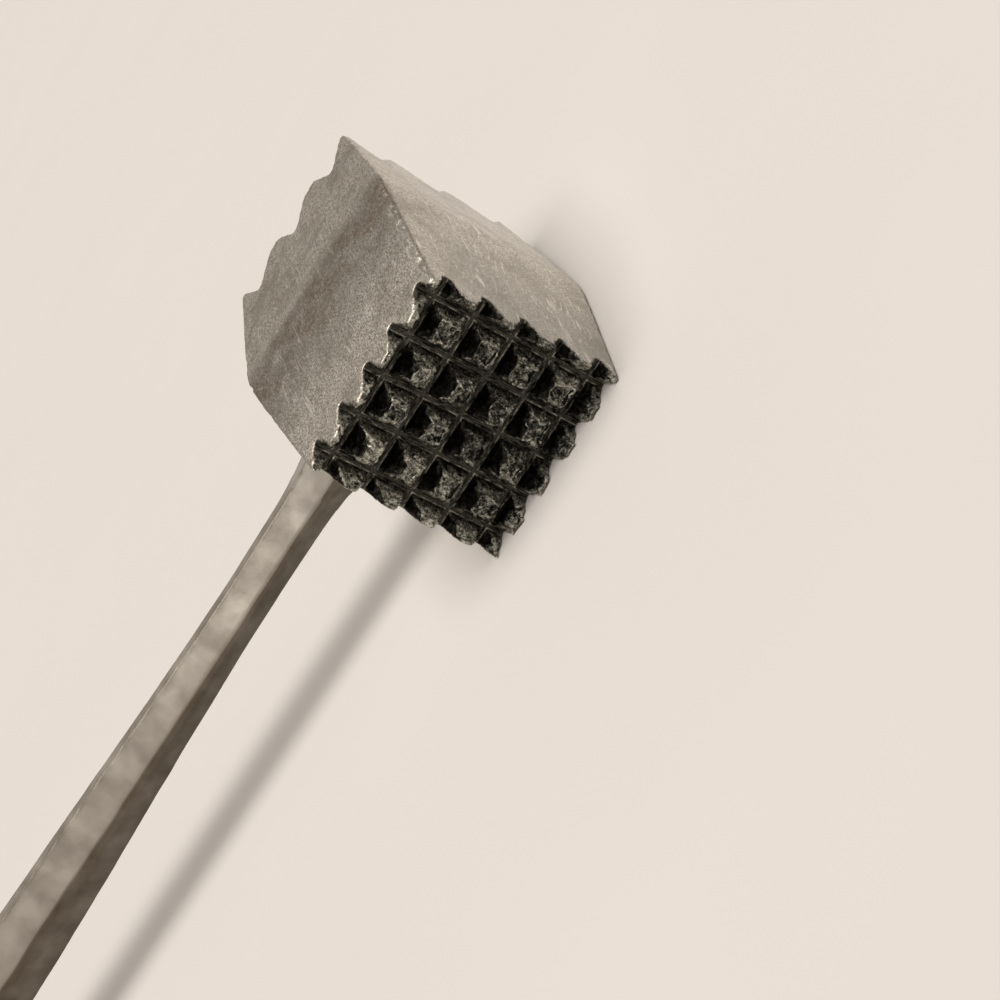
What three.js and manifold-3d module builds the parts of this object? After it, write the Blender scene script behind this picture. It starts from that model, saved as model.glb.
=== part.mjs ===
// An old cast aluminium meat mallet: a square head with two toothed striking faces, a faceted
// cast handle and the steel stud that joins them. Sizes are in millimetres.
//
// The castings are drawn with the head's middle at the origin: +X points to the fine striking
// face, the handle runs along -Y and Z is the height. The mould parts on the plane X = 0, so the
// flanks of the head lean by the draft angle on both sides of that plane. At the end the mallet
// is laid down on the flank between the parting line and the fine face: the middle of that flank
// comes to the origin, flat on the plane Z = 0.

import * as THREE from 'three';
import { mergeVertices } from 'three/addons/utils/BufferGeometryUtils.js';
import Module from 'manifold-3d';

// Head casting
const HEAD_LENGTH = 76;
const PARTING_WIDTH = 45.8;
const DRAFT_DEGREES = 5.6;
const HEAD_EDGE_RADIUS = 0.8;

// Striking faces: V grooves both ways leave rows of blunt pyramids, halved along the edges
const FINE_TEETH = { side: 1, grooves: 5, pitch: 7.9, depth: 4.6, floor: 0.9, wallDegrees: 27 };
const COARSE_TEETH = { side: -1, grooves: 3, pitch: 13.2, depth: 8, floor: 1.2, wallDegrees: 27 };

// Handle casting: distances run from the head's parting line, widths along Z, thicknesses along X.
// The land is the flat along the parting line, the crest the flat that faces a striking face.
const NECK_DISTANCE = 33;
const GRIP_DISTANCE = 145;
const HANDLE_REACH = 184;
const ROOT_SECTION = { width: 15, thickness: 12, land: 5.6, crest: 3.2 };
const NECK_SECTION = { width: 9.5, thickness: 9, land: 2.4, crest: 0.9 };
const GRIP_SECTION = { width: 15.8, thickness: 9.4, land: 2.6, crest: 2.4 };
const TIP_THICKNESS = 5.5;
const FLARE_POWER = 4;

// Hanging hole through the grip, along X
const HOLE_DIAMETER = 8;
const HOLE_INSET = 9;
const HOLE_CHAMFER = 0.6;

// Joint between head and handle
const POCKET_DEPTH = 2.5;
const POCKET_CLEARANCE = 0.25;
const SEAT_CLEARANCE = 0.25;
const STUD_DIAMETER = 6;
const STUD_IN_HEAD = 14;
const STUD_IN_HANDLE = 16;
const STUD_CHAMFER = 0.8;
const STUD_CLEARANCE = 0.2;
const BORE_END_CLEARANCE = 0.6;

// Smoothness of the drawn curves
const CORNER_STEPS = 4;
const FLARE_STEPS = 9;
const SWELL_STEPS = 14;
const TIP_STEPS = 8;
const TIP_SWEEP_DEGREES = 80;
const ROUND_SEGMENTS = 32;
const OVERSHOOT = 2;

const DRAFT = THREE.MathUtils.degToRad(DRAFT_DEGREES);
const HALF_LENGTH = HEAD_LENGTH / 2;
const HALF_WIDTH = PARTING_WIDTH / 2;
const POCKET_FLOOR_Y = POCKET_DEPTH - HALF_WIDTH;
const HANDLE_FACE_Y = POCKET_FLOOR_Y - SEAT_CLEARANCE;

const wasm = await Module();
wasm.setup();

// Solids for cutting and joining

function toManifold(geometry) {
  const bare = geometry.clone();
  bare.deleteAttribute('normal');
  bare.deleteAttribute('uv');
  const welded = mergeVertices(bare, 1e-4);
  return new wasm.Manifold(new wasm.Mesh({
    numProp: 3,
    vertProperties: new Float32Array(welded.getAttribute('position').array),
    triVerts: new Uint32Array(welded.getIndex().array),
  }));
}

function toGeometry(manifold) {
  const mesh = manifold.getMesh();
  const geometry = new THREE.BufferGeometry();
  geometry.setAttribute('position', new THREE.Float32BufferAttribute(mesh.vertProperties, 3));
  geometry.setIndex(new THREE.BufferAttribute(new Uint32Array(mesh.triVerts), 1));
  return geometry;
}

// A closed skin over rings of points. Each ring turns right-handed about the way the rings run.
function loft(rings) {
  const count = rings[0].length;
  const last = (rings.length - 1) * count;
  const triangles = [];
  for (let ring = 0; ring < last; ring += count) {
    for (let i = 0; i < count; i += 1) {
      const next = (i + 1) % count;
      triangles.push(ring + i, ring + next, ring + count + next);
      triangles.push(ring + i, ring + count + next, ring + count + i);
    }
  }
  for (let i = 1; i < count - 1; i += 1) {
    triangles.push(0, i + 1, i);
    triangles.push(last, last + i, last + i + 1);
  }
  const geometry = new THREE.BufferGeometry().setFromPoints(rings.flat());
  geometry.setIndex(triangles);
  return geometry;
}

// Head

function flankHeight(x) {
  return HALF_WIDTH - Math.abs(x) * Math.tan(DRAFT);
}

function roundedSquareRing(x) {
  const centre = flankHeight(x) - HEAD_EDGE_RADIUS;
  const ring = [];
  for (let corner = 0; corner < 4; corner += 1) {
    const middle = new THREE.Vector2(centre, centre).rotateAround(new THREE.Vector2(), corner * Math.PI / 2);
    for (let step = 0; step <= CORNER_STEPS; step += 1) {
      const angle = (corner + step / CORNER_STEPS) * Math.PI / 2;
      const y = middle.x + HEAD_EDGE_RADIUS * Math.cos(angle);
      const z = middle.y + HEAD_EDGE_RADIUS * Math.sin(angle);
      ring.push(new THREE.Vector3(x, y, z));
    }
  }
  return ring;
}

function headBlank() {
  return toManifold(loft([-HALF_LENGTH, 0, HALF_LENGTH].map(roundedSquareRing)));
}

function grooveCutter(teeth, offset) {
  const lean = Math.tan(THREE.MathUtils.degToRad(teeth.wallDegrees));
  const bottom = HALF_LENGTH - teeth.depth;
  const top = HALF_LENGTH + OVERSHOOT;
  const halfFloor = teeth.floor / 2;
  const halfMouth = halfFloor + (top - bottom) * lean;
  const profile = new THREE.Shape([
    new THREE.Vector2(bottom, offset - halfFloor),
    new THREE.Vector2(top, offset - halfMouth),
    new THREE.Vector2(top, offset + halfMouth),
    new THREE.Vector2(bottom, offset + halfFloor),
  ]);
  const length = PARTING_WIDTH + 2 * OVERSHOOT;
  const geometry = new THREE.ExtrudeGeometry(profile, { depth: length, bevelEnabled: false });
  geometry.translate(0, 0, -length / 2);
  return toManifold(geometry);
}

function cutTeeth(blank, teeth) {
  const turn = teeth.side > 0 ? 0 : 180;
  let block = blank;
  for (let i = 0; i < teeth.grooves; i += 1) {
    const offset = (i - (teeth.grooves - 1) / 2) * teeth.pitch;
    const cutter = grooveCutter(teeth, offset).rotate([0, 0, turn]);
    block = block.subtract(cutter).subtract(cutter.rotate([90, 0, 0]));
  }
  return block;
}

function boreCutter(mouthY, direction, depth) {
  const radius = STUD_DIAMETER / 2 + STUD_CLEARANCE;
  const length = depth + OVERSHOOT;
  const geometry = new THREE.CylinderGeometry(radius, radius, length, ROUND_SEGMENTS);
  geometry.translate(0, mouthY + direction * (length / 2 - OVERSHOOT), 0);
  return toManifold(geometry);
}

function pocketCutter() {
  const pocket = {
    width: ROOT_SECTION.width + 2 * POCKET_CLEARANCE,
    thickness: ROOT_SECTION.thickness + 2 * POCKET_CLEARANCE,
    land: ROOT_SECTION.land + POCKET_CLEARANCE,
    crest: ROOT_SECTION.crest + POCKET_CLEARANCE,
  };
  return toManifold(loft([sectionRing(POCKET_FLOOR_Y, pocket), sectionRing(-HALF_WIDTH - OVERSHOOT, pocket)]));
}

function headGeometry() {
  const toothed = cutTeeth(cutTeeth(headBlank(), FINE_TEETH), COARSE_TEETH);
  const socketed = toothed.subtract(pocketCutter());
  return toGeometry(socketed.subtract(boreCutter(POCKET_FLOOR_Y, 1, STUD_IN_HEAD + BORE_END_CLEARANCE)));
}

// Handle

function sectionRing(y, section) {
  const x = section.thickness / 2;
  const z = section.width / 2;
  const land = section.land / 2;
  const crest = section.crest / 2;
  const corners = [[x, -crest], [x, crest], [land, z], [-land, z], [-x, crest], [-x, -crest], [-land, -z], [land, -z]];
  return corners.map(([cornerX, cornerZ]) => new THREE.Vector3(cornerX, y, cornerZ));
}

function blendSections(from, to, share) {
  const mix = (name) => THREE.MathUtils.lerp(from[name], to[name], share);
  return { width: mix('width'), thickness: mix('thickness'), land: mix('land'), crest: mix('crest') };
}

function flareRings() {
  const rings = [];
  for (let step = 0; step < FLARE_STEPS; step += 1) {
    const share = step / FLARE_STEPS;
    const section = blendSections(NECK_SECTION, ROOT_SECTION, (1 - share) ** FLARE_POWER);
    rings.push(sectionRing(-HALF_WIDTH - share * NECK_DISTANCE, section));
  }
  return rings;
}

function swellRings() {
  const rings = [];
  for (let step = 0; step <= SWELL_STEPS; step += 1) {
    const share = step / SWELL_STEPS;
    const distance = THREE.MathUtils.lerp(NECK_DISTANCE, GRIP_DISTANCE, share);
    const section = blendSections(NECK_SECTION, GRIP_SECTION, THREE.MathUtils.smoothstep(share, 0, 1));
    rings.push(sectionRing(-HALF_WIDTH - distance, section));
  }
  return rings;
}

function tipRings() {
  const radius = GRIP_SECTION.width / 2;
  const rings = [];
  for (let step = 0; step <= TIP_STEPS; step += 1) {
    const angle = THREE.MathUtils.degToRad(TIP_SWEEP_DEGREES * step / TIP_STEPS);
    const narrowing = Math.cos(angle);
    const distance = HANDLE_REACH - radius + radius * Math.sin(angle);
    rings.push(sectionRing(-HALF_WIDTH - distance, {
      width: GRIP_SECTION.width * narrowing,
      thickness: THREE.MathUtils.lerp(TIP_THICKNESS, GRIP_SECTION.thickness, narrowing),
      land: GRIP_SECTION.land,
      crest: GRIP_SECTION.crest * narrowing,
    }));
  }
  return rings;
}

function handleHoleCutter() {
  const radius = HOLE_DIAMETER / 2;
  const half = GRIP_SECTION.thickness / 2;
  const mouth = HOLE_CHAMFER + OVERSHOOT;
  const profile = [
    new THREE.Vector2(0, -half - OVERSHOOT),
    new THREE.Vector2(radius + mouth, -half - OVERSHOOT),
    new THREE.Vector2(radius, -half + HOLE_CHAMFER),
    new THREE.Vector2(radius, half - HOLE_CHAMFER),
    new THREE.Vector2(radius + mouth, half + OVERSHOOT),
    new THREE.Vector2(0, half + OVERSHOOT),
  ];
  const geometry = new THREE.LatheGeometry(profile, ROUND_SEGMENTS);
  geometry.rotateZ(-Math.PI / 2);
  geometry.translate(0, -HALF_WIDTH - HANDLE_REACH + HOLE_INSET, 0);
  return toManifold(geometry);
}

function handleGeometry() {
  const rings = [sectionRing(HANDLE_FACE_Y, ROOT_SECTION), ...flareRings(), ...swellRings(), ...tipRings()];
  const drilled = toManifold(loft(rings)).subtract(handleHoleCutter());
  return toGeometry(drilled.subtract(boreCutter(HANDLE_FACE_Y, -1, STUD_IN_HANDLE + BORE_END_CLEARANCE)));
}

// Stud

function studGeometry() {
  const radius = STUD_DIAMETER / 2;
  const half = (STUD_IN_HEAD + SEAT_CLEARANCE + STUD_IN_HANDLE) / 2;
  const geometry = new THREE.LatheGeometry([
    new THREE.Vector2(0, -half),
    new THREE.Vector2(radius - STUD_CHAMFER, -half),
    new THREE.Vector2(radius, -half + STUD_CHAMFER),
    new THREE.Vector2(radius, half - STUD_CHAMFER),
    new THREE.Vector2(radius - STUD_CHAMFER, half),
    new THREE.Vector2(0, half),
  ], ROUND_SEGMENTS);
  return toGeometry(toManifold(geometry));
}

// Materials

function castAluminium() {
  return new THREE.MeshStandardMaterial({ color: '#a8a297', roughness: 0.48, metalness: 0.9, flatShading: true });
}

function studSteel() {
  return new THREE.MeshStandardMaterial({ color: '#8b8984', roughness: 0.38, metalness: 1, flatShading: true });
}

// Assembly

function piece(name, geometry, material) {
  const mesh = new THREE.Mesh(geometry, material);
  mesh.name = name;
  return mesh;
}

const head = piece('head', headGeometry(), castAluminium());
const handle = piece('handle', handleGeometry(), castAluminium());
const stud = piece('handle_stud', studGeometry(), studSteel());
stud.position.y = POCKET_FLOOR_Y + (STUD_IN_HEAD - SEAT_CLEARANCE - STUD_IN_HANDLE) / 2;

const restX = (HALF_LENGTH - FINE_TEETH.depth) / 2;
const restPoint = new THREE.Vector3(restX, 0, -flankHeight(restX));

const casting = new THREE.Group();
casting.add(head, handle, stud);
casting.rotation.y = DRAFT;
casting.position.copy(restPoint.applyEuler(casting.rotation)).negate();

const mallet = new THREE.Group();
mallet.add(casting);

export default mallet;
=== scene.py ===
"""An old cast aluminium meat mallet lying on one flank of its head, on a pale table top.

The head and the handle start as copies of the CAD castings. Each copy gets an even skin of small
faces, which is worn, nicked and pounded as the real casting is, and thinned where it stayed flat.
The wear is worked out in millimetres and in casting axes: +X points to the fine striking face, the
handle runs along -Y, and the mould parts on the plane X = 0.
"""

import math
from types import SimpleNamespace

import bmesh
import bpy
import numpy as np
from mathutils import Euler, Matrix, Vector, noise


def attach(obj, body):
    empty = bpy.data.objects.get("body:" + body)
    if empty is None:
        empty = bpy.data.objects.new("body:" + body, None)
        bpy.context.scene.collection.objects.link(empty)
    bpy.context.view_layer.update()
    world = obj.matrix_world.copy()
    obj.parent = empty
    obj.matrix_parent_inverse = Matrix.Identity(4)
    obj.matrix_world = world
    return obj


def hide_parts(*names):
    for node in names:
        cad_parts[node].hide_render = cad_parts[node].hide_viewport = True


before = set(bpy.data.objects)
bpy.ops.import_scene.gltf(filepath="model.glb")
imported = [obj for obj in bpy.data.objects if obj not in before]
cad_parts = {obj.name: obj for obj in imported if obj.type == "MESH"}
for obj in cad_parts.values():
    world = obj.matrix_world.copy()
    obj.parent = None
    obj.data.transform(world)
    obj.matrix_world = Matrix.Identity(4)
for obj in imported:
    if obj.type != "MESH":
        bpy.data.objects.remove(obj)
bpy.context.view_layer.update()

scene = bpy.context.scene
scene.view_settings.view_transform = "Standard"

MM = 0.001
SEED = 7

# Without a seed of its own, noise_vector starts from the clock
noise.seed_set(SEED)

# The castings, as the CAD draws them, in millimetres
HEAD_LENGTH = 76.0
PARTING_WIDTH = 45.8
DRAFT = math.radians(5.6)
FINE_TEETH = {"side": 1, "pitch": 7.9, "depth": 4.6}
COARSE_TEETH = {"side": -1, "pitch": 13.2, "depth": 8.0}
GROOVE_FLOOR = 0.9
HEAD_EDGE_RADIUS = 0.8
HALF_LENGTH = HEAD_LENGTH / 2
HALF_WIDTH = PARTING_WIDTH / 2

# Finished skins: size of the faces before thinning, and how many triangles are left after it
HEAD_SKIN = 0.28 * MM
HANDLE_SKIN = 0.34 * MM
HEAD_TRIANGLES = 190000
HANDLE_TRIANGLES = 70000
WELD = 0.001 * MM

# Wear of the head, in millimetres: the ridge along the parting line is rubbed round, the corners
# are nicked along their rims, and the flank it rests on is worn away next to the fine teeth
PARTING_ROUND = 4.0
RIM_WIDTH = 2.2
REST_WEAR = 0.5

# Wear of the teeth, with heights and depths in millimetres. Each tooth has its own place in a square
# of cells around the middle of its face. Blows reach the part of it above TOP_SHARE of its height,
# and the outer row, past OUTER_ROW of the half width, loses only OUTER_LOSS of what the others do.
CELLS = 8
TOP_SHARE = 0.35
OUTER_ROW = 0.69
OUTER_LOSS = 0.3
STEEPEST_SLANT = 0.16
LIP_HEIGHT = 0.16
DISH_DEPTH = 0.4
FOLD_HEIGHT = 0.3
CREST_HEIGHT = 0.16
TEAR_DEPTH = 0.6

# Shares below this leave nothing to see, so the slow noise isn't worked out there
TRACE = 0.01

# How strongly the brown painted shade lies along the handle's crests, to hold back their highlight, as
# a share of its strength below
CREST_PAINTED_SHADE = 0.72

# Turns that comb the scratches along the upper and lower flanks, then along the side flanks, and
# how long and how far apart the strands are, in millimetres
SCRATCH_TURNS = (
    (0, 0, math.radians(28)), (0, 0, math.radians(-55)),
    (0, math.radians(35), 0), (0, math.radians(-50), 0),
)
SCRATCH_LENGTH = 40
SCRATCH_SPACING = 2

# The camera looks at the fine face past the head's upper corner, rolled far over to its left
CAMERA_AIM = Vector((0.61, -15.58, -2.63)) * MM
CAMERA_DISTANCE = 382.84 * MM
CAMERA_AZIMUTH = math.radians(106.65)
CAMERA_ELEVATION = math.radians(21.58)
CAMERA_ROLL = math.radians(-62.27)
NEAREST_SEEN = 10 * MM

# The lens and the sensor, which Blender takes in millimetres
LENS = 75.75
SENSOR = 36.0

# A broad soft light stands almost overhead, a little towards the camera and the head's free side.
# The room gives the rest, brighter at the height of the table than above.
LIGHT_SPREAD = math.radians(48)
LIGHT_LEAN = (math.radians(-3), math.radians(10), 0)
LIGHT_STRENGTH = 2.76
LIGHT_COLOUR = (1, 0.94, 0.88)
ROOM_LOW = 0.43
ROOM_HIGH = 0.08

# The table top runs this far to each side, well past the edge of the picture
TABLE_REACH = 6000 * MM


# Places


def casting_to_row():
    """The turn and move that lay the castings on the rest flank, as the CAD does."""
    rest_x = (HALF_LENGTH - FINE_TEETH["depth"]) / 2
    rest_z = rest_x * math.tan(DRAFT) - HALF_WIDTH
    turn = Matrix.Rotation(DRAFT, 4, "Y")
    return Matrix.Translation(-(turn @ Vector((rest_x, 0, rest_z))) * MM) @ turn


CASTING = casting_to_row()


# Meshes


def skinned_copy(node, name, face_size):
    """A copy of a CAD casting, laid in casting axes under an even skin of small faces."""
    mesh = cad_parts[node].data.copy()
    work = bmesh.new()
    work.from_mesh(mesh)
    bmesh.ops.remove_doubles(work, verts=work.verts, dist=WELD)
    work.to_mesh(mesh)
    work.free()
    mesh.transform(CASTING.inverted())
    mesh.materials.clear()
    piece = bpy.data.objects.new(name, mesh)
    scene.collection.objects.link(piece)
    skin = piece.modifiers.new("skin", "REMESH")
    skin.mode = "VOXEL"
    skin.voxel_size = face_size
    apply_modifiers(piece)
    return piece


def apply_modifiers(piece):
    """Makes what the modifiers give the piece's own mesh."""
    graph = bpy.context.evaluated_depsgraph_get()
    mesh = bpy.data.meshes.new_from_object(piece.evaluated_get(graph))
    mesh.name = piece.name
    piece.modifiers.clear()
    piece.data = mesh


def read_points(mesh):
    """Vertex places in millimetres."""
    flat = np.empty(len(mesh.vertices) * 3)
    mesh.vertices.foreach_get("co", flat)
    return flat.reshape(-1, 3) / MM


def write_points(mesh, points):
    """Moves the vertices to new places in millimetres, and gives their new normals."""
    mesh.vertices.foreach_set("co", (points * MM).ravel())
    mesh.update()
    flat = np.empty(len(mesh.vertices) * 3)
    mesh.vertex_normals.foreach_get("vector", flat)
    return flat.reshape(-1, 3)


def read_edges(mesh):
    """The two vertices at the ends of each edge."""
    flat = np.empty(len(mesh.edges) * 2, dtype=np.int32)
    mesh.edges.foreach_get("vertices", flat)
    return flat.reshape(-1, 2)


def neighbour_mean(values, edges):
    """For each vertex, the mean of its neighbours' values."""
    count = len(values)
    ends = np.concatenate((edges[:, 0], edges[:, 1]))
    others = np.concatenate((edges[:, 1], edges[:, 0]))
    degree = np.maximum(np.bincount(ends, minlength=count), 1)
    columns = values.reshape(count, -1).T
    sums = [np.bincount(ends, column[others], minlength=count) / degree for column in columns]
    return np.stack(sums, axis=1).reshape(values.shape)


def smoothstep(low, high, values):
    """Rises smoothly from 0 at low to 1 at high."""
    share = np.clip((values - low) / (high - low), 0, 1)
    return share * share * (3 - 2 * share)


def soften(points, edges, share, rounds):
    """Rubs the points down towards their neighbours, each by its own share."""
    for _ in range(rounds):
        points = points + share[:, None] * (neighbour_mean(points, edges) - points)
    return points


def bending(points, normals, edges, face_size):
    """How sharply the skin bends at each point: above 0 on edges and below 0 in dents."""
    proud = np.einsum("ij,ij->i", points - neighbour_mean(points, edges), normals)
    return neighbour_mean(proud / (face_size / MM), edges)


def lumps(points, size, seed):
    """Smooth noise from -1 to 1, whose lumps measure about size millimetres.

    A seed of its own keeps each pattern apart from the others.
    """
    shift = Vector((seed * 31.7, seed * 17.3, seed * 11.9))
    return np.array([noise.noise(Vector(point) / size + shift) for point in points])


def crumbs(points, size, seed):
    """Rough noise, about -1 to 1: each layer of its lumps is finer and fainter than the last."""
    shift = Vector((seed * 23.1, seed * 7.7, seed * 13.3))
    fading, fineness, layers = 0.7, 2.1, 4
    return np.array([
        noise.fractal(Vector(point) / size + shift, fading, fineness, layers) for point in points
    ])


def folds(points, size, seed):
    """Curling folds of smeared metal: how far each point is from the nearest crest."""
    shift = Vector((seed * 19.3, seed * 29.9, seed * 5.3))
    away = []
    for point in points:
        place = Vector(point) / size + shift
        curl = noise.noise_vector(place * 0.7)
        away.append(abs(noise.noise(place + 0.8 * curl)))
    return np.array(away)


def store(mesh, name, values):
    """Keeps a value for each vertex, which the materials read by its name."""
    attribute = mesh.attributes.new(name, "FLOAT", "POINT")
    attribute.data.foreach_set("value", values.astype(np.float32))


def thin_out(piece, triangles):
    """Merges faces where the skin is flat until about so many triangles are left."""
    piece.data.calc_loop_triangles()
    thinner = piece.modifiers.new("thinner", "DECIMATE")
    thinner.ratio = min(1, triangles / len(piece.data.loop_triangles))
    apply_modifiers(piece)


def finish_piece(piece, node):
    """Lays the piece on the rest flank and puts it in the place of its CAD casting."""
    piece.data.transform(CASTING)
    for face in piece.data.polygons:
        face.use_smooth = True
    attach(piece, "root")
    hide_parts(node)


# Head


def flank_height(x):
    """How far the flanks stand from the middle line at x."""
    return HALF_WIDTH - np.abs(x) * math.tan(DRAFT)


def below_flanks(points):
    """How deep each point lies under the nearest flank or rounded corner, as a negative length."""
    sides = np.abs(points[:, 1:]) - (flank_height(points[:, 0]) - HEAD_EDGE_RADIUS)[:, None]
    past = np.hypot(*np.maximum(sides, 0).T)
    return past + np.minimum(sides.max(axis=1), 0) - HEAD_EDGE_RADIUS


def tooth_height(points, teeth):
    """How far each point stands above the groove floors of a striking face, as a share."""
    return (points[:, 0] * teeth["side"] - HALF_LENGTH) / teeth["depth"] + 1


def head_zones(points):
    """Where each point of the unworn head lies.

    fine and coarse are its heights in the teeth of both faces. outside is 1 on the flanks, and
    grimy is 1 among the fine teeth, with a ragged edge against the flanks.
    """
    depth = below_flanks(points)
    fine = tooth_height(points, FINE_TEETH)
    wiped = smoothstep(-0.16, 0, depth + 0.07 * lumps(points, size=1.3, seed=19))
    return SimpleNamespace(
        fine=fine,
        coarse=tooth_height(points, COARSE_TEETH),
        outside=smoothstep(-0.32, -0.02, depth),
        grimy=smoothstep(-0.25, 0.05, fine) * (1 - wiped),
    )


def pound_teeth(points, teeth, wear, lean, seed):
    """Wears each tooth down by its own amount and on its own slant, the upper ones least.

    A tooth loses between wear[0] and wear[1] millimetres. The pounded tops are dished.
    Gives the new points, and how near each is to the lip of a top.
    """
    top = np.flatnonzero(tooth_height(points, teeth) > TOP_SHARE)
    spots = points[top]
    cells = np.floor(spots[:, 1:] / teeth["pitch"]).astype(int)
    across = spots[:, 1:] - (cells + 0.5) * teeth["pitch"]
    row, column = (cells + CELLS // 2).T
    chance = np.random.default_rng(seed)
    loss = chance.uniform(wear[0], wear[1], (CELLS, CELLS))[row, column]
    loss *= np.where(np.abs(spots[:, 1:]).max(axis=1) > OUTER_ROW * HALF_WIDTH, OUTER_LOSS, 1)
    loss *= np.clip(1 + lean * (spots[:, 1] - spots[:, 2]) / HALF_WIDTH, 0.2, 2)
    slants = chance.uniform(-STEEPEST_SLANT, STEEPEST_SLANT, (2, CELLS, CELLS))[:, row, column]
    limit = HALF_LENGTH - loss + (slants.T * across).sum(axis=1)
    reach = spots[:, 0] * teeth["side"]
    over = reach - limit
    lip = 1 - smoothstep(0.05, 0.35, np.abs(over))
    dished = np.minimum(reach, limit) + LIP_HEIGHT * lip - DISH_DEPTH * smoothstep(0.1, 1, over)
    spots[:, 0] = teeth["side"] * np.minimum(dished, HALF_LENGTH)
    points[top] = spots
    lips = np.zeros(len(points))
    lips[top] = lip
    return points, lips


def round_parting(points, skirt):
    """Rubs the ridge along the parting line round on all four flanks."""
    away = np.abs(points[:, 0])
    pull = (np.hypot(away, PARTING_ROUND) - away) * math.tan(DRAFT)
    shell = smoothstep(-3, -1, skirt - flank_height(points[:, 0]))
    points[:, 1:] *= (1 - shell * pull / HALF_WIDTH)[:, None]
    return points


def wear_down(points, edges, zone):
    """Blunts and pounds the teeth, rubs the ridge round, and wears the rest flank by the fine teeth.

    Gives the new points, and how near each is to the lip of a pounded tooth.
    """
    skirt = np.abs(points[:, 1:]).max(axis=1)
    tips = np.maximum(smoothstep(0.6, 1, zone.fine) * 0.25, smoothstep(0.4, 1, zone.coarse) * 0.5)
    points = soften(points, edges, 0.1 + tips, rounds=5)
    points, lips = pound_teeth(points, FINE_TEETH, wear=(0.3, 1.4), lean=0.5, seed=SEED)
    points, _ = pound_teeth(points, COARSE_TEETH, wear=(0, 0.4), lean=0, seed=SEED + 5)
    points = round_parting(points, skirt)
    resting = zone.outside * smoothstep(0, 1, zone.fine) * smoothstep(18, 20, -points[:, 2])
    points[:, 2] += REST_WEAR * resting
    return points, lips


def batter(points, normals, share, seed):
    """Smears and tears the surface where share is above 0, as blows on bone and board do.

    Gives the new points, and how near each is to the crest of a fold.
    """
    hit = np.flatnonzero(share > TRACE)
    spots = points[hit]
    wide = folds(spots, size=2.4, seed=seed)
    narrow = folds(spots, size=1.4, seed=seed + 1)
    away = np.minimum(wide, 1.3 * narrow)
    rise = FOLD_HEIGHT * np.clip(1 - 4 * away, 0, 1) + CREST_HEIGHT * np.clip(1 - 9 * away, 0, 1)
    rise -= TEAR_DEPTH * np.abs(crumbs(spots, size=1.7, seed=seed + 2))
    points[hit] += normals[hit] * (share[hit] * rise)[:, None]
    crest = np.zeros(len(points))
    crest[hit] = np.clip(1 - 8 * away, 0, 1) * smoothstep(0, 0.4, share[hit])
    return points, crest


def fray(points, share, size, reach, seed):
    """Shakes the points along the flanks, so that cut edges run ragged, the lower ones most."""
    near = np.flatnonzero(share > TRACE)
    spots = points[near]
    low = 1 + 0.6 * smoothstep(0, HALF_WIDTH, -spots[:, 2])
    for axis in (1, 2):
        inner = 1 - smoothstep(-0.9, -0.2, np.abs(spots[:, axis]) - flank_height(spots[:, 0]))
        points[near, axis] += share[near] * low * inner * reach * lumps(spots, size, seed + axis)
    return points


def tear_teeth(points, normals, zone):
    """Smears the tops of the teeth, least where they faced up, and frays the cuts of the fine ones.

    Gives the new points, and how near each is to the crest of a fold.
    """
    struck = smoothstep(0.35, 0.66, zone.fine) * (1 - 0.8 * zone.facing_up) * (1 - 0.85 * zone.outside)
    struck = np.maximum(struck, smoothstep(0.7, 1, zone.coarse) * 0.3)
    points, crest = batter(points, normals, struck, SEED)
    toothed = smoothstep(-0.35, 0.1, zone.fine)
    for size, reach, seed in ((1.7, 0.45, 40), (0.8, 0.22, 44)):
        points = fray(points, toothed, size, reach, seed)
    return points, crest


def nick_corners(points, normals, corner):
    """Knocks wide and small nicks into the corners where two flanks meet."""
    rim = np.flatnonzero(corner > -RIM_WIDTH)
    nicks = np.zeros(len(rim))
    for size, depth, seed in ((2.6, 0.45, 3), (0.8, 0.2, 4)):
        nicks += np.clip(lumps(points[rim], size, seed) - 0.1, 0, 1) * depth
    points[rim] -= normals[rim] * (nicks * smoothstep(-RIM_WIDTH, -0.8, corner[rim]))[:, None]
    return points


def roughen(points, normals, zone):
    """Gives the casting its slow waves and grain, and the walls of the fine teeth a crust."""
    rise = 0.05 * lumps(points, size=5.5, seed=9) + 0.022 * lumps(points, size=1.1, seed=10)
    walls = np.clip(smoothstep(0, 0.3, zone.fine) - zone.outside, 0, 1)
    crust = np.flatnonzero(walls > 0)
    thickness = (walls * (1 - 0.8 * zone.facing_up))[crust] * 0.06
    rise[crust] += thickness * crumbs(points[crust], size=0.8, seed=12)
    return points + normals * rise[:, None]


def cell_tone(points, sideways):
    """How light the metal of each fine tooth is: a tone of its own, most bare along the rim, and more
    towards -Y, with painted light on its side walls and on the upper teeth.
    """
    cells = np.floor(points[:, 1:] / FINE_TEETH["pitch"]).astype(int) + CELLS // 2
    chance = np.random.default_rng(SEED + 30)
    own = chance.uniform(0.7, 1.3, (CELLS, CELLS))[cells[:, 0], cells[:, 1]]
    rim = (np.abs(points[:, 1:]).max(axis=1) / HALF_WIDTH) ** 1.5
    # Painted light: the upper teeth lighter, as light falls from above; lighter towards -Y too
    painted_light_gradient = 1 + 0.2 * points[:, 2] / HALF_WIDTH
    painted_light_gradient *= 1 - 0.2 * points[:, 1] / HALF_WIDTH
    return np.clip((0.13 + 0.28 * rim) * painted_light_gradient * own * (1 + 1.7 * sideways), 0, 1)


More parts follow.
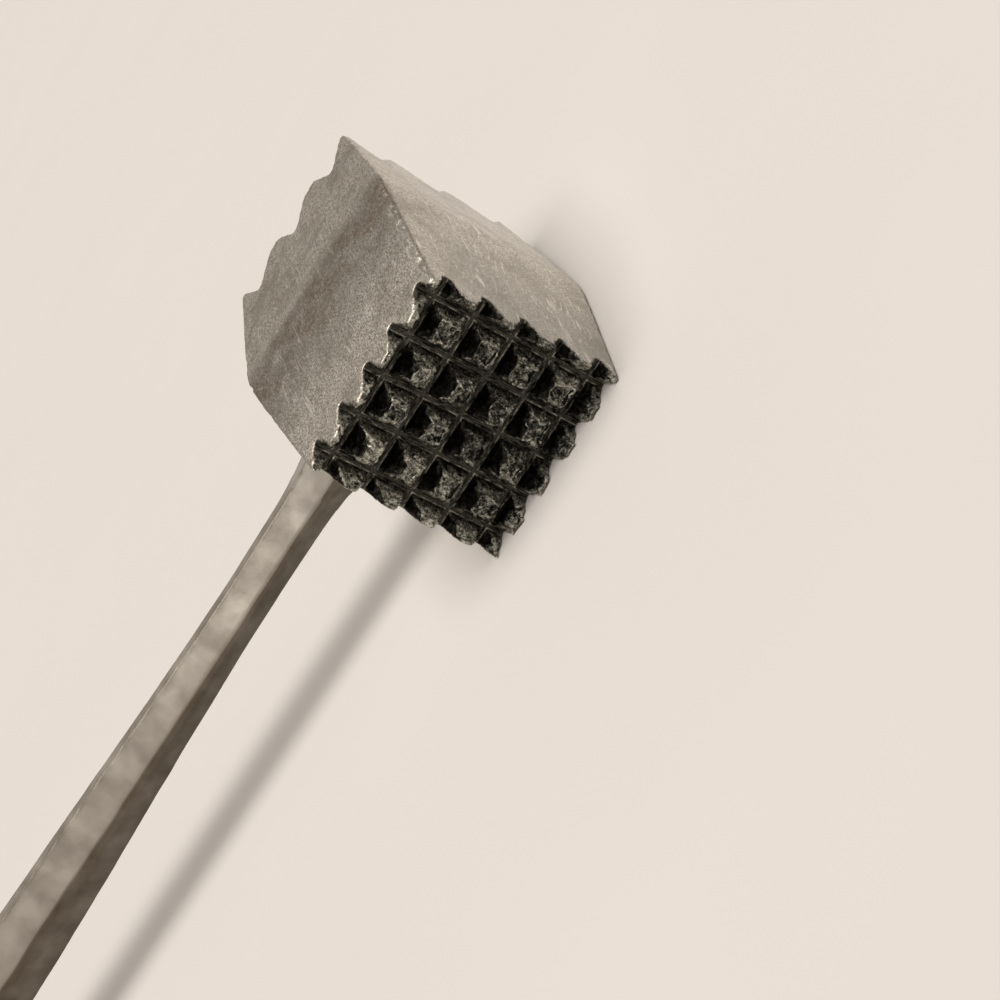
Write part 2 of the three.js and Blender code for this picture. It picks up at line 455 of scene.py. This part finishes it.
def mark_teeth(mesh, points, normals, zone):
    """Stores where the ends are grimy, with painted shade on the outer rim, charred, folded up,
    lighter along the floors, and bare, with painted light on the teeth.
    """
    low = smoothstep(-0.1, 0, zone.coarse) * (1 - smoothstep(0.05, 0.45, zone.coarse))
    between = low * (1 - zone.outside)
    # Painted shade on the outer rim by the fine teeth, which holds back its highlight
    rim_painted_shade = 0.3 * zone.outside * smoothstep(0.7, 1, zone.fine)
    store(mesh, "grime_and_rim_shade", np.maximum(np.maximum(zone.grimy, rim_painted_shade), 0.7 * between))
    thickness = 0.6 * (1 - smoothstep(0.05, 0.35, zone.fine))
    store(mesh, "char", np.clip(thickness + zone.facing_up * (1 - 0.55 * zone.lowest), 0, 1))
    lips = zone.lips
    near = np.flatnonzero(lips > 0)
    lips[near] *= smoothstep(-0.25, 0.2, lumps(points[near], size=1.6, seed=17))
    store(mesh, "crest", np.maximum(zone.crest, lips * (1 - zone.outside)))
    store(mesh, "floor", zone.grimy * (1 - smoothstep(0.04, 0.16, zone.fine)))
    # Side walls, which get painted light
    sideways = 1 - smoothstep(0.6, 0.88, normals[:, 0])
    store(mesh, "tooth_bare_and_painted_light", cell_tone(points, sideways))


def mark_flanks(mesh, points, bend, zone):
    """Stores where the flanks have bright edges, from wear with a painted highlight, brown stains,
    painted shade, grey, and a painted sheen.
    """
    x, y, z = points.T
    # Bright edges: worn metal, with a painted highlight on the rims and corners
    worn = np.maximum(np.clip(bend * 5, 0, 0.45), 0.22 * smoothstep(-0.75, -0.3, zone.corner))
    beside_teeth = 1 - 0.8 * smoothstep(-0.1, 0.2, zone.fine)
    store(mesh, "edge_wear_and_highlight", worn * (1 - 0.4 * zone.grimy) * beside_teeth)
    upper = smoothstep(-2, 0, z - np.abs(y)) * zone.outside
    band = smoothstep(-4, 1, x) * (1 - smoothstep(7, 22, x))
    cloudy = 0.35 + 0.65 * smoothstep(-0.4, 0.3, lumps(points, size=5, seed=15))
    dents = np.clip(-8 * bend, 0, 0.6) * smoothstep(-RIM_WIDTH, -1, zone.corner)
    store(mesh, "stain", np.maximum(upper * band * cloudy, dents))
    # Painted shade on the side flank, darker towards the fine teeth and the table, and grey by the
    # ridge on the upper flank
    sideward = smoothstep(-4, 16, y - z)
    by_teeth = smoothstep(-5, 34, x) * sideward
    by_ridge = 0.8 * smoothstep(-3, 1, x) * (1 - smoothstep(8, 30, x))
    store(mesh, "painted_shade_and_grey", np.maximum(by_teeth * zone.outside, by_ridge * upper))
    # Painted sheen on the far half of the side flank
    store(mesh, "painted_sheen", (1 - smoothstep(-14, 4, x)) * sideward * zone.outside)


def head():
    """The head casting, with its worn teeth, rubbed ridge and nicked corners."""
    piece = skinned_copy("head", "worn_head", HEAD_SKIN)
    mesh = piece.data
    edges = read_edges(mesh)
    points = read_points(mesh)
    zone = head_zones(points)
    points, zone.lips = wear_down(points, edges, zone)
    normals = write_points(mesh, points)

    zone.facing_up = smoothstep(0.45, 0.75, normals[:, 2]) * (1 - zone.outside)
    zone.lowest = smoothstep(15, 19, -points[:, 2])
    points, zone.crest = tear_teeth(points, normals, zone)
    zone.corner = np.abs(points[:, 1:]).min(axis=1) - flank_height(points[:, 0])
    points = nick_corners(points, normals, zone.corner)
    points = roughen(points, normals, zone)
    normals = write_points(mesh, points)

    mark_flanks(mesh, points, bending(points, normals, edges, HEAD_SKIN), zone)
    mark_teeth(mesh, points, normals, zone)
    thin_out(piece, HEAD_TRIANGLES)
    piece.data.materials.append(worn_cast_aluminium())
    finish_piece(piece, "head")


# Handle


def handle():
    """The handle casting, rubbed soft and wavy where it is gripped."""
    piece = skinned_copy("handle", "worn_handle", HANDLE_SKIN)
    mesh = piece.data
    edges = read_edges(mesh)
    points = read_points(mesh)
    gripped = smoothstep(HALF_WIDTH, HALF_WIDTH + 12, -points[:, 1])
    points = soften(points, edges, 0.1 + 0.1 * gripped, rounds=3)

    # The ridges wander up and down along the handle
    ridge = smoothstep(3, 6, np.abs(points[:, 0])) * gripped
    along = points * (0, 1, 0) + (0, 0, 5)
    points[:, 2] += 0.5 * ridge * lumps(along, size=7, seed=24)
    normals = write_points(mesh, points)
    waves = 0.11 * lumps(points, size=8.5, seed=21) + 0.015 * lumps(points, size=1.6, seed=22)
    points += normals * (waves * gripped)[:, None]
    write_points(mesh, points)

    bend = neighbour_mean(bending(points, normals, edges, HANDLE_SKIN), edges)
    store(mesh, "dull_edge", np.clip(bend * 10, 0, 1))
    # Brown painted shade on what faces down, and along the crests to hold back their highlight
    facing_up = normals[:, 2]
    crest = smoothstep(0.59, 0.7, facing_up) * (1 - smoothstep(0.94, 0.99, facing_up))
    below = (1 - smoothstep(0.05, 0.4, facing_up)) * (1 - 0.07 * smoothstep(0.5, 5, -points[:, 2]))
    store(mesh, "painted_shade", np.maximum(below, CREST_PAINTED_SHADE * crest))
    thin_out(piece, HANDLE_TRIANGLES)
    piece.data.materials.append(handled_cast_aluminium())
    finish_piece(piece, "handle")


# Stud


def stud():
    """Gives the hidden stud, which stays as the CAD draws it, its turned steel."""
    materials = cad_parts["handle_stud"].data.materials
    materials.clear()
    materials.append(turned_steel())


# Materials


def linear(colour):
    """An sRGB hex colour as linear red, green, blue and alpha."""
    channels = [int(colour[i:i + 2], 16) / 255 for i in (1, 3, 5)]
    return [c / 12.92 if c <= 0.04045 else ((c + 0.055) / 1.055) ** 2.4 for c in channels] + [1]


def add(tree, kind, inputs=None, **settings):
    """Adds a node. Settings are its properties, and inputs are its sockets by name or number.

    An input gets a value, a hex colour, or a link: from an output, or from the first one that a
    node has in use.
    """
    node = tree.nodes.new(kind)
    for name, value in settings.items():
        setattr(node, name, value)
    for name, value in (inputs or {}).items():
        if isinstance(value, bpy.types.Node):
            value = next(output for output in value.outputs if output.enabled)
        if isinstance(value, bpy.types.NodeSocket):
            tree.links.new(value, node.inputs[name])
        else:
            node.inputs[name].default_value = linear(value) if isinstance(value, str) else value
    return node


def new_material(name):
    """An empty material with its tree, and the place of each point in the object's axes."""
    material = bpy.data.materials.new(name)
    material.use_nodes = True
    tree = material.node_tree
    tree.nodes.clear()
    return material, tree, add(tree, "ShaderNodeTexCoord").outputs["Object"]


def per_mm(size):
    """A noise scale for object coordinates in metres whose lumps measure size millimetres."""
    return 1 / (size * MM)


def in_casting_axes(tree, place):
    """The place of each point in casting axes, for patterns that follow the flanks or grooves."""
    return add(tree, "ShaderNodeMapping", {
        "Vector": place, "Location": CASTING.to_translation(), "Rotation": (0, DRAFT, 0)},
        vector_type="TEXTURE")


def line_where(tree, value, level, inner, outer, strength):
    """A line where the value passes the level: full up to inner from it and gone at outer."""
    centred = add(tree, "ShaderNodeMath", {0: value, 1: level}, operation="SUBTRACT")
    away = add(tree, "ShaderNodeMath", {0: centred}, operation="ABSOLUTE")
    return add(tree, "ShaderNodeMapRange", {
        "Value": away, "From Min": inner, "From Max": outer, "To Min": strength, "To Max": 0})


def hair_scratches(tree, place, casting):
    """Fine scratches in patches across each pair of flanks, painted near white: bare metal with a
    painted highlight.

    Each turn combs noise into long strands, with a hairline where they pass one level. The lines
    are a few times wider than the real ones, so that they show.
    """
    scratched = 0
    for number, turn in enumerate(SCRATCH_TURNS):
        combed = add(tree, "ShaderNodeMapping", {
            "Vector": casting, "Location": (100 * MM * number, 0, 0), "Rotation": turn,
            "Scale": (SCRATCH_SPACING / SCRATCH_LENGTH, 1, 1)})
        strands = add(tree, "ShaderNodeTexNoise", {
            "Vector": combed, "Scale": per_mm(SCRATCH_SPACING), "Detail": 1, "Distortion": 0.2})
        line = line_where(tree, strands, level=0.65, inner=0, outer=0.018, strength=0.7)
        scratched = add(tree, "ShaderNodeMath", {0: scratched, 1: line}, operation="MAXIMUM")
    patches = add(tree, "ShaderNodeTexNoise", {"Vector": place, "Scale": per_mm(5), "Detail": 3})
    shown = add(tree, "ShaderNodeMapRange", {"Value": patches, "From Min": 0.4, "From Max": 0.6})
    return add(tree, "ShaderNodeMath", {0: scratched, 1: shown}, operation="MULTIPLY")


def bare_flanks(tree, place, grain, scratches):
    """The metal of the flanks: light grain, dull clouds, painted shade by the fine teeth and grey by
    the ridge, a painted sheen on the far side flank, then light scratches, pits, painted glints and a
    brown stain.
    """
    bright_grain = add(tree, "ShaderNodeMapRange", {
        "Value": grain, "From Min": 0.36, "From Max": 0.64})
    clouds = add(tree, "ShaderNodeTexNoise", {
        "Vector": place, "Scale": per_mm(7), "Detail": 5, "Roughness": 0.65})
    dull = add(tree, "ShaderNodeMapRange", {
        "Value": clouds, "From Min": 0.46, "From Max": 0.66, "To Max": 0.6})
    # Painted shade near the fine teeth, and grey by the ridge
    painted_shade_and_grey = add(tree, "ShaderNodeAttribute", attribute_name="painted_shade_and_grey").outputs["Fac"]
    shade_and_grey_share = add(tree, "ShaderNodeMath", {0: painted_shade_and_grey, 1: 0.55}, operation="MULTIPLY")
    # A painted sheen on the far half of the side flank
    painted_sheen = add(tree, "ShaderNodeAttribute", attribute_name="painted_sheen").outputs["Fac"]
    sheen_share = add(tree, "ShaderNodeMath", {0: painted_sheen, 1: 0.27}, operation="MULTIPLY")
    layers = [
        (bright_grain, "#f8f3e9"), (dull, "#9b9485"), (shade_and_grey_share, "#8b8a85"), (sheen_share, "#f4f5f3"),
        (scratches, "#fdfaf4"),
    ]

    # Pits about a millimetre apart, some dark and some with a light rim, a painted glint
    for spacing, colour in ((0.9, "#5d574c"), (1.1, "#fbf8f1")):
        pits = add(tree, "ShaderNodeTexVoronoi", {"Vector": place, "Scale": per_mm(spacing)})
        dot = add(tree, "ShaderNodeMapRange", {
            "Value": pits, "From Min": 0.07, "From Max": 0.18, "To Min": 0.8, "To Max": 0})
        layers.append((dot, colour))

    scribble = add(tree, "ShaderNodeTexNoise", {
        "Vector": place, "Scale": per_mm(1.3), "Detail": 4, "Roughness": 0.75, "Distortion": 0.8})
    soaked = add(tree, "ShaderNodeMapRange", {
        "Value": scribble, "From Min": 0.42, "From Max": 0.6, "To Min": 0.22, "To Max": 0.8})
    stain = add(tree, "ShaderNodeAttribute", attribute_name="stain").outputs["Fac"]
    stained = add(tree, "ShaderNodeMath", {0: stain, 1: soaked}, operation="MULTIPLY")
    layers.append((stained, "#87735f"))

    metal = "#948f84"
    for share, colour in layers:
        metal = add(tree, "ShaderNodeMix", {
            "Factor": share, "A": metal, "B": colour}, data_type="RGBA")
    return metal


def smeared_layers(tree, casting, torn):
    """The pounded tops of the fine teeth: torn metal, bare in flecks and along curling folds."""
    smear = add(tree, "ShaderNodeTexNoise", {
        "Vector": casting, "Scale": per_mm(1.5), "Detail": 3, "Roughness": 0.6, "Distortion": 1.6})
    smeared = add(tree, "ShaderNodeMapRange", {
        "Value": smear, "From Min": 0.38, "From Max": 0.64, "To Min": 0.1})
    crest = add(tree, "ShaderNodeAttribute", attribute_name="crest").outputs["Fac"]
    flecked = add(tree, "ShaderNodeMapRange", {
        "Value": torn, "From Min": 0.4, "From Max": 0.64, "To Min": 0.3, "To Max": 1.6})
    # How bare each tooth is, with painted light on its side walls and on the upper teeth
    tone = add(tree, "ShaderNodeAttribute", attribute_name="tooth_bare_and_painted_light").outputs["Fac"]
    bare = add(tree, "ShaderNodeMath", {0: crest, 1: 2, 2: smeared}, operation="MULTIPLY_ADD")
    for share in (flecked, tone):
        bare = add(tree, "ShaderNodeMath", {0: bare, 1: share}, operation="MULTIPLY")
    shown = add(tree, "ShaderNodeMapRange", {"Value": bare, "From Min": 0.05, "From Max": 0.9})
    loops = add(tree, "ShaderNodeTexNoise", {
        "Vector": casting, "Scale": per_mm(1.2), "Detail": 0.5, "Distortion": 1.2})
    curl = line_where(tree, loops, level=0.52, inner=0, outer=0.035, strength=2.2)
    curled = add(tree, "ShaderNodeMath", {0: curl, 1: bare}, operation="MULTIPLY", use_clamp=True)
    return [(shown, "#c3c2b5"), (curled, "#dcd7cb")]


def char_layer(tree, torn, crust):
    """Charred fat, thickest deep in the grooves and on walls that faced up, with brown crumbs."""
    char = add(tree, "ShaderNodeAttribute", attribute_name="char").outputs["Fac"]
    ragged = add(tree, "ShaderNodeMath", {0: char, 1: crust}, operation="ADD")
    charred = add(tree, "ShaderNodeMapRange", {"Value": ragged, "From Min": 0.6, "From Max": 1.15})
    baked = add(tree, "ShaderNodeMapRange", {"Value": torn, "From Min": 0.5, "From Max": 0.72})
    crumbly = add(tree, "ShaderNodeMix", {
        "Factor": baked, "A": "#080806", "B": "#352e25"}, data_type="RGBA")
    return charred, crumbly


def floor_line_layer(tree, casting, crust):
    """The grooves' floors, lighter in a line along both their edges, with breaks."""
    parts = add(tree, "ShaderNodeSeparateXYZ", {0: casting})
    half_pitch = FINE_TEETH["pitch"] / 2 * MM
    from_upright_groove, from_level_groove = (
        add(tree, "ShaderNodeMath", {0: parts.outputs[axis], 1: half_pitch}, operation="PINGPONG")
        for axis in ("Y", "Z")
    )
    nearest = add(tree, "ShaderNodeMath", {
        0: from_upright_groove, 1: from_level_groove}, operation="MINIMUM")
    edge_lines = line_where(
        tree, nearest, level=GROOVE_FLOOR / 2 * MM, inner=0.05 * MM, outer=0.16 * MM, strength=1)
    broken = add(tree, "ShaderNodeMapRange", {
        "Value": crust, "From Min": 0.38, "From Max": 0.62, "To Max": 0.9})
    floor = add(tree, "ShaderNodeAttribute", attribute_name="floor").outputs["Fac"]
    bright_floor = add(tree, "ShaderNodeMath", {0: broken, 1: floor}, operation="MULTIPLY")
    line = add(tree, "ShaderNodeMath", {0: edge_lines, 1: bright_floor}, operation="MULTIPLY")
    return line, "#b2ae9f"


def grimy_teeth(tree, place, casting, crust):
    """The fine teeth: dark smeared metal under charred fat, with light lines in the grooves."""
    torn = add(tree, "ShaderNodeTexNoise", {
        "Vector": place, "Scale": per_mm(0.34), "Detail": 2, "Roughness": 0.7})
    layers = smeared_layers(tree, casting, torn)
    layers.append(char_layer(tree, torn, crust))
    layers.append(floor_line_layer(tree, casting, crust))
    grime = "#11110e"
    for share, colour in layers:
        grime = add(tree, "ShaderNodeMix", {
            "Factor": share, "A": grime, "B": colour}, data_type="RGBA")
    return grime


def worn_cast_aluminium():
    """Sand-cast aluminium gone dull: a fine grain, pits with painted glints, light hair scratches,
    brown stains.

    Between the fine teeth it is charred black, and their pounded tops are dark smeared metal.
    """
    material, tree, place = new_material("worn_sand_cast_aluminium")
    casting = in_casting_axes(tree, place)
    grain = add(tree, "ShaderNodeTexNoise", {
        "Vector": place, "Scale": per_mm(0.36), "Detail": 3, "Roughness": 0.7})
    crust = add(tree, "ShaderNodeTexNoise", {
        "Vector": place, "Scale": per_mm(0.8), "Detail": 4, "Roughness": 0.7})
    scratches = hair_scratches(tree, place, casting)

    # Grime between the teeth, and painted shade on the outer rim
    grime_and_rim_shade = add(tree, "ShaderNodeAttribute", attribute_name="grime_and_rim_shade").outputs["Fac"]
    # Worn edges with a painted highlight
    edge = add(tree, "ShaderNodeAttribute", attribute_name="edge_wear_and_highlight").outputs["Fac"]
    uneven = add(tree, "ShaderNodeMapRange", {
        "Value": crust, "From Min": 0.42, "From Max": 0.62, "To Max": 0.95})
    bright_edge = add(tree, "ShaderNodeMath", {0: edge, 1: uneven}, operation="MULTIPLY")
    colour = bare_flanks(tree, place, grain, scratches)
    layers = ((grime_and_rim_shade, grimy_teeth(tree, place, casting, crust)), (bright_edge, "#e9e5dc"))
    for share, layer in layers:
        colour = add(tree, "ShaderNodeMix", {
            "Factor": share, "A": colour, "B": layer}, data_type="RGBA")

    rough = add(tree, "ShaderNodeMapRange", {
        "Value": grain, "From Min": 0.3, "From Max": 0.7, "To Min": 0.38, "To Max": 0.5})
    relief = add(tree, "ShaderNodeMath", {
        0: scratches, 1: -0.4, 2: grain}, operation="MULTIPLY_ADD")
    bump = add(tree, "ShaderNodeBump", {"Strength": 0.6, "Distance": 0.12 * MM, "Height": relief})
    surface = add(tree, "ShaderNodeBsdfPrincipled", {
        "Base Color": colour, "Metallic": 0.92, "Roughness": rough, "Normal": bump})
    add(tree, "ShaderNodeOutputMaterial", {"Surface": surface})
    return material


def handled_cast_aluminium():
    """Cast aluminium rubbed by hands: softly clouded, and bright by the head.

    Brown painted shade lies on what faces down and along the crests, holding back their highlight, and
    the edges of its facets are dull.
    """
    material, tree, place = new_material("handled_cast_aluminium")
    patches = add(tree, "ShaderNodeTexNoise", {"Vector": place, "Scale": per_mm(6), "Detail": 3})
    clouded = add(tree, "ShaderNodeMapRange", {
        "Value": patches, "From Min": 0.35, "From Max": 0.65})
    along = add(tree, "ShaderNodeSeparateXYZ", {0: in_casting_axes(tree, place)}).outputs["Y"]
    by_head = add(tree, "ShaderNodeMapRange", {
        "Value": along, "From Min": -48 * MM, "From Max": -26 * MM, "To Max": 1.3})
    rubbed = add(tree, "ShaderNodeMath", {0: by_head, 1: patches}, operation="MULTIPLY")
    # Brown painted shade, a little uneven
    painted_shade = add(tree, "ShaderNodeAttribute", attribute_name="painted_shade").outputs["Fac"]
    thickness = add(tree, "ShaderNodeMapRange", {
        "Value": patches, "From Min": 0.3, "From Max": 0.7, "To Min": 1, "To Max": 0.85})
    painted_shade_share = add(tree, "ShaderNodeMath", {0: painted_shade, 1: thickness}, operation="MULTIPLY")
    edge = add(tree, "ShaderNodeAttribute", attribute_name="dull_edge").outputs["Fac"]
    dulled = add(tree, "ShaderNodeMath", {0: edge, 1: 0.6}, operation="MULTIPLY")
    layers = (
        (clouded, "#e3ddd2"), (rubbed, "#f3efe7"), (painted_shade_share, "#564d40"), (dulled, "#726a5e"),
    )
    metal = "#cbc4b9"
    for share, colour in layers:
        metal = add(tree, "ShaderNodeMix", {
            "Factor": share, "A": metal, "B": colour}, data_type="RGBA")

    grain = add(tree, "ShaderNodeTexNoise", {"Vector": place, "Scale": per_mm(0.7), "Detail": 2})
    rough = add(tree, "ShaderNodeMapRange", {
        "Value": patches, "From Min": 0.3, "From Max": 0.7, "To Min": 0.4, "To Max": 0.48})
    bump = add(tree, "ShaderNodeBump", {"Strength": 0.2, "Distance": 0.08 * MM, "Height": grain})
    surface = add(tree, "ShaderNodeBsdfPrincipled", {
        "Base Color": metal, "Metallic": 0.95, "Roughness": rough, "Normal": bump})
    add(tree, "ShaderNodeOutputMaterial", {"Surface": surface})
    return material


def turned_steel():
    """Plain steel rod turned on a lathe: fine rings 0.2 mm apart break its shine into bands."""
    material, tree, place = new_material("turned_steel")
    pressed = add(tree, "ShaderNodeMapping", {"Vector": place, "Scale": (1, 8 / 0.2, 1)})
    rings = add(tree, "ShaderNodeTexNoise", {"Vector": pressed, "Scale": per_mm(8), "Detail": 2})
    rough = add(tree, "ShaderNodeMapRange", {"Value": rings, "To Min": 0.25, "To Max": 0.45})
    bump = add(tree, "ShaderNodeBump", {"Strength": 0.3, "Distance": 0.05 * MM, "Height": rings})
    surface = add(tree, "ShaderNodeBsdfPrincipled", {
        "Base Color": "#9b9a97", "Metallic": 1, "Roughness": rough, "Normal": bump})
    add(tree, "ShaderNodeOutputMaterial", {"Surface": surface})
    return material


def painted_table():
    """A table top brushed with warm off-white paint: matt and almost even, it shows soft shadows."""
    material, tree, place = new_material("matt_paint")
    brushed = add(tree, "ShaderNodeTexNoise", {"Vector": place, "Scale": per_mm(90), "Detail": 2})
    colour = add(tree, "ShaderNodeMix", {
        "Factor": brushed, "A": "#e3e0dd", "B": "#e8e5e2"}, data_type="RGBA")
    surface = add(tree, "ShaderNodeBsdfPrincipled", {
        "Base Color": colour, "Roughness": 0.8, "Specular IOR Level": 0.2})
    add(tree, "ShaderNodeOutputMaterial", {"Surface": surface})
    return material


# Scene


def table_top():
    """A flat top that runs past the edge of the picture on all sides."""
    work = bmesh.new()
    bmesh.ops.create_grid(work, x_segments=1, y_segments=1, size=TABLE_REACH)
    mesh = bpy.data.meshes.new("table_top")
    work.to_mesh(mesh)
    work.free()
    mesh.materials.append(painted_table())
    top = bpy.data.objects.new("table_top", mesh)
    scene.collection.objects.link(top)


def lights():
    """The soft lamp overhead, and the room around the table."""
    lamp = bpy.data.lights.new("soft_light", "SUN")
    lamp.angle = LIGHT_SPREAD
    lamp.energy = LIGHT_STRENGTH
    lamp.color = LIGHT_COLOUR
    lamp_object = bpy.data.objects.new("soft_light", lamp)
    lamp_object.rotation_euler = LIGHT_LEAN
    scene.collection.objects.link(lamp_object)

    world = bpy.data.worlds.new("room")
    world.use_nodes = True
    tree = world.node_tree
    tree.nodes.clear()
    direction = add(tree, "ShaderNodeTexCoord").outputs["Generated"]
    height = add(tree, "ShaderNodeSeparateXYZ", {0: direction}).outputs["Z"]
    level = add(tree, "ShaderNodeMapRange", {
        "Value": height, "To Min": ROOM_LOW, "To Max": ROOM_HIGH})
    background = add(tree, "ShaderNodeBackground", {"Color": "#f3e7da", "Strength": level})
    add(tree, "ShaderNodeOutputWorld", {"Surface": background})
    scene.world = world


def camera():
    """The camera of the photograph."""
    data = bpy.data.cameras.new("camera")
    data.sensor_width = SENSOR
    data.lens = LENS
    data.clip_start = NEAREST_SEEN
    turn = Euler((math.pi / 2 - CAMERA_ELEVATION, 0, CAMERA_AZIMUTH)).to_matrix().to_4x4()
    turn = turn @ Matrix.Rotation(CAMERA_ROLL, 4, "Z")
    back = Matrix.Translation((0, 0, CAMERA_DISTANCE))
    viewer = bpy.data.objects.new("camera", data)
    viewer.matrix_world = Matrix.Translation(CAMERA_AIM) @ turn @ back
    scene.collection.objects.link(viewer)
    scene.camera = viewer


camera()
lights()
table_top()
head()
handle()
stud()
